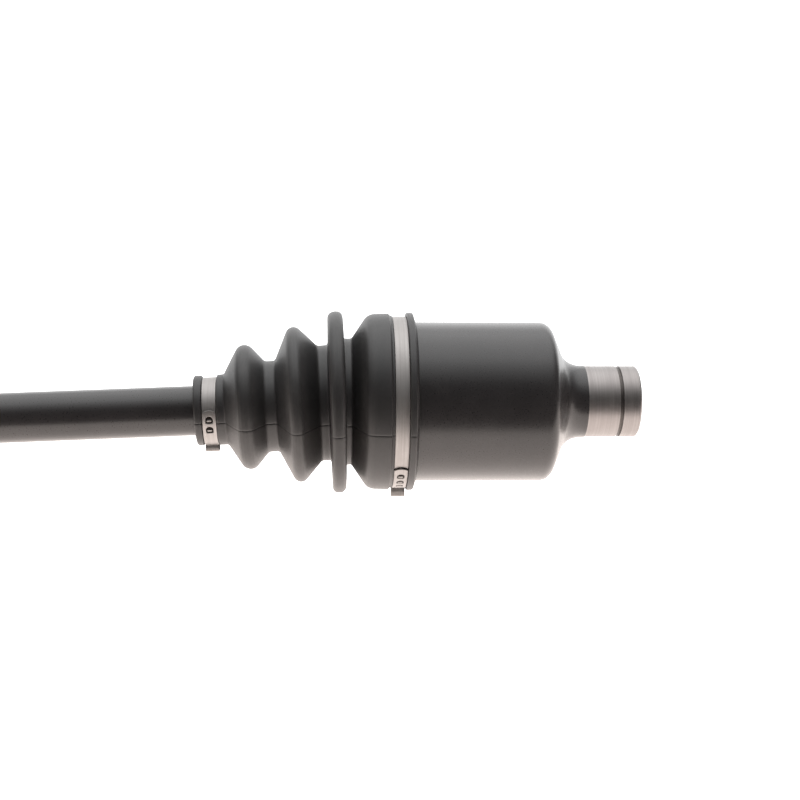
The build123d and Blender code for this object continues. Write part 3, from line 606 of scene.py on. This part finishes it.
def lapPath(clamp):
    # Middle line of the lapped end, seen along the axis, in mm: an arc on top of the band, then out along
    # the ear's side, over its top and back, and a short arc again. The corners are softened by averaging
    # each point with its neighbours over 0.9 mm.
    lapRadius = clamp["radius"] + clampStrip["thickness"] / 2
    half = (clampStrip["earWidth"] - clampStrip["thickness"]) / 2
    top = clamp["earHeight"] - clampStrip["thickness"]
    earTurn = math.radians(clampStrip["earAt"])
    reach = (half + 0.5) / lapRadius
    before = np.linspace(math.radians(clamp["lapStart"]), earTurn - reach, 60)
    after = np.linspace(earTurn + reach, math.radians(clampStrip["lapEnd"]), 20)
    around = np.array([-half + 0.3, -half - 0.1, -half + 0.05, -half + 0.5, half - 0.5, half, half + 0.1, half])
    out = np.array([0.2, top * 0.5, top * 0.93, top, top, top * 0.93, top * 0.5, 0.2])
    outward = np.array([math.cos(earTurn), math.sin(earTurn)])
    sideways = np.array([-math.sin(earTurn), math.cos(earTurn)])
    ear = outward * (lapRadius + out)[:, None] + sideways * around[:, None]
    path = np.vstack([
        lapRadius * np.stack([np.cos(before), np.sin(before)], axis=1),
        ear,
        lapRadius * np.stack([np.cos(after), np.sin(after)], axis=1),
    ])
    gone = np.concatenate([[0], np.cumsum(np.linalg.norm(np.diff(path, axis=0), axis=1))])
    stops = np.linspace(0, gone[-1], int(gone[-1] / clampStrip["fine"]))
    fine = np.stack([np.interp(stops, gone, path[:, 0]), np.interp(stops, gone, path[:, 1])], axis=1)
    reachPoints = int(0.45 / clampStrip["fine"])
    kernel = np.ones(2 * reachPoints + 1) / (2 * reachPoints + 1)
    padded = np.pad(fine, ((reachPoints, reachPoints), (0, 0)), mode="reflect", reflect_type="odd")
    return stops, np.stack([np.convolve(padded[:, axis], kernel, mode="valid") for axis in (0, 1)], axis=1)


def lapSheet(clamp):
    # The lapped end as a closed sheet. A point at s along the middle line and v across it goes out and in
    # by half the thickness, and that half falls to nothing at the rim. The free end bulges by
    # sag * (1 - (v / half width)^2). A window is a half ellipse on the free end's side and a rounded
    # rectangle on the other. It sinks by the window's depth, and the hook in it rises a little.
    # Beside the sheet it returns painted shade: the windows, where only shade falls on the band below, and the free
    # end's edge as a painted shadow.
    stops, middle = lapPath(clamp)
    halfWidth = clampStrip["width"] / 2
    v = np.linspace(-halfWidth, halfWidth, 43)[None, :]
    s = stops[:, None]
    bulge = clampStrip["freeEndSag"] * (v / halfWidth) ** 2 * np.clip(1 - s / 8, 0, 1)
    s = np.minimum(s + bulge, stops[-1])
    y = np.interp(s, stops, middle[:, 0])
    z = np.interp(s, stops, middle[:, 1])
    tangent = np.gradient(middle, axis=0)
    tangent /= np.linalg.norm(tangent, axis=1)[:, None]
    outY = np.interp(s, stops, tangent[:, 1])
    outZ = np.interp(s, stops, -tangent[:, 0])
    rim = np.sqrt(np.clip(1 - np.abs(v / halfWidth) ** clampStrip["edgeRound"], 0, 1))
    fromEnd = np.minimum(stops, stops[-1] - stops)[:, None]
    rim = rim * np.sqrt(np.clip(1 - (1 - np.clip(fromEnd / 0.3, 0, 1)) ** 2, 0, 1))
    thickness = clampStrip["thickness"] / 2 * rim
    recessAndPaintedShade = np.zeros_like(y)
    hooks = np.zeros_like(y)
    lapRadius = clamp["radius"] + clampStrip["thickness"] / 2
    half = clamp["windowLength"] / 2
    for turn in clamp["windows"]:
        past = s - math.radians(turn - clamp["lapStart"]) * lapRadius
        across = np.abs(v) / (clampStrip["windowWidth"] / 2)
        rounded = np.sqrt(across ** 2 + (past / half) ** 2)
        squared = (across ** 6 + (past / half) ** 6) ** (1 / 6)
        window = 1 - smoothStep(np.where(past < 0, rounded, squared), 0.9, 1.03)
        hookShape = ((np.abs(v) / (clampStrip["hookWidth"] / 2)) ** 6 + ((past - 0.2 * half) / (0.27 * half)) ** 6) ** (1 / 6)
        hook = (1 - smoothStep(hookShape, 0.82, 1.08)) * window
        recessAndPaintedShade = np.maximum(recessAndPaintedShade, window * (1 - hook))
        hooks = np.maximum(hooks, hook)
    outer = thickness - clampStrip["windowDepth"] * recessAndPaintedShade + clampStrip["hookRise"] * hooks
    x = np.broadcast_to(v, y.shape)
    top = np.stack([x, y + outY * outer, z + outZ * outer], axis=-1)
    bottom = np.stack([x, y - outY * thickness, z - outZ * thickness], axis=-1)
    grid = np.concatenate([top, bottom[:, ::-1]], axis=1)
    # painted shadow: the free end's cut edge is darkened as if the curled end shaded it, beside the painted shade in
    # the windows
    shade = np.maximum(recessAndPaintedShade, clamp["paintedEndShadow"] * (1 - smoothStep(stops[:, None] + 0 * v, 0.75, 1.15)))
    return grid, np.concatenate([shade, np.zeros_like(shade)], axis=1)


def makeClamp(name, clamp):
    # band: its section carried once round the axis
    radius = clamp["radius"]
    half = clampStrip["width"] / 2
    inner = radius - clampStrip["thickness"]
    x, r = roundedPath([(-half, inner, 0.15), (-half, radius, 0.25), (half, radius, 0.25), (half, inner, 0.15)])
    angle = np.linspace(0, 2 * math.pi, 256, endpoint=False)
    band = np.stack([np.repeat(x[:, None], 256, axis=1), r[:, None] * np.cos(angle), r[:, None] * np.sin(angle)], axis=-1)
    lap, recessAndPaintedShade = lapSheet(clamp)
    bendStart = -1.0 if clamp["bent"] else -900.0
    grids = [bentOnAxle(grid[..., 0] + clamp["along"], grid[..., 1], grid[..., 2], bendStart, bendStart - 1)
             for grid in (band, lap)]
    piece = meshPiece(name, [closedGrid(grids[0], True), closedGrid(grids[1], False)])
    # painted shade of the windows and the free end, read by the band's colour
    layer = piece.data.attributes.new("recessAndPaintedShade", "FLOAT", "POINT")
    layer.data.foreach_set("value", np.concatenate([np.zeros(band[..., 0].size), recessAndPaintedShade.ravel()]).astype(np.float32))
    mergeRims(piece)
    piece.data.materials.append(stainless)
    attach(piece, clamp["body"])
    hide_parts(clamp["node"])


for name, clamp in clamps.items():
    makeClamp(name, clamp)
print("clamps made:", len(clamps))


# ---------- floor, light and camera ----------

studio = {
    "floorHeight": -0.25,
    "floorFront": -0.305,
    "floorGlow": 1.5,
    "floorTint": (1.0, 0.82, 0.72),
    "skyDark": 0.10,
    "skyAbove": 2.5,
    "skyBehind": 2.2,
    "softboxPower": 4.0,
    "softboxSize": (2.2, 1.1),
    "softboxPlace": (-0.1, -0.10, 0.95),
}
half = 4.0
floorMesh = bpy.data.meshes.new("floor")
floorMesh.from_pydata(
    [(-half, studio["floorFront"], studio["floorHeight"]), (half, studio["floorFront"], studio["floorHeight"]),
     (half, half, studio["floorHeight"]), (-half, half, studio["floorHeight"])],
    [], [(0, 1, 2, 3)],
)
floor = bpy.data.objects.new("floor", floorMesh)
scene.collection.objects.link(floor)
floorMaterial, tree, shader = newMaterial("paleFloor")
skin = useGroup(tree, mottle, Place=objectPlace(tree), CloudScale=1.5, GrainScale=60.0)
tree.links.new(mixColour(tree, skin["Cloud"], (0.86, 0.855, 0.85), (0.9, 0.895, 0.89)), shader.inputs["Base Color"])
shader.inputs["Roughness"].default_value = 0.7
seen = tree.nodes.new("ShaderNodeLightPath").outputs["Is Camera Ray"]
glow = addNode(tree, "ShaderNodeMix", {"data_type": "FLOAT"}, i0=seen, i2=studio["floorGlow"], i3=1.0)
tree.links.new(mixColour(tree, seen, studio["floorTint"], (1.0, 1.0, 1.0)), shader.inputs["Emission Color"])
tree.links.new(glow.outputs[0], shader.inputs["Emission Strength"])
floorMesh.materials.append(floorMaterial)

world = bpy.data.worlds.new("studio")
scene.world = world
world.use_nodes = True
tree = world.node_tree
background = tree.nodes["Background"]
direction = addNode(tree, "ShaderNodeSeparateXYZ", Vector=tree.nodes.new("ShaderNodeTexCoord").outputs["Generated"])
above = mapRange(tree, direction.outputs["Z"], 0.33, 1.1, studio["skyDark"], studio["skyAbove"])
behind = mapRange(tree, direction.outputs["Y"], 0.1, 0.8, 0.0, studio["skyBehind"])
level = maths(tree, "MAXIMUM", above, behind)
seen = tree.nodes.new("ShaderNodeLightPath").outputs["Is Camera Ray"]
level = maths(tree, "MAXIMUM", level, seen)
tree.links.new(level, background.inputs["Strength"])
background.inputs["Color"].default_value = (1, 1, 1, 1)

softbox = bpy.data.lights.new("softbox", "AREA")
softbox.shape = "RECTANGLE"
softbox.size, softbox.size_y = studio["softboxSize"]
softbox.energy = studio["softboxPower"]
softboxPiece = bpy.data.objects.new("softbox", softbox)
softboxPiece.location = studio["softboxPlace"]
scene.collection.objects.link(softboxPiece)

view = {
    "target": (-0.10085, 0.0, 0.0007),
    "turn": math.radians(3.3),
    "distance": 0.706,
    "lens": 63.0,
}
camera = bpy.data.cameras.new("camera")
camera.lens = view["lens"]
camera.sensor_width = 36.0
cameraPiece = bpy.data.objects.new("camera", camera)
cameraPiece.location = (
    view["target"][0] - view["distance"] * math.sin(view["turn"]),
    view["target"][1] - view["distance"] * math.cos(view["turn"]),
    view["target"][2],
)
cameraPiece.rotation_euler = (math.radians(90), 0, -view["turn"])
scene.collection.objects.link(cameraPiece)
scene.camera = cameraPiece
scene.view_settings.view_transform = "Standard"
print("stage set")
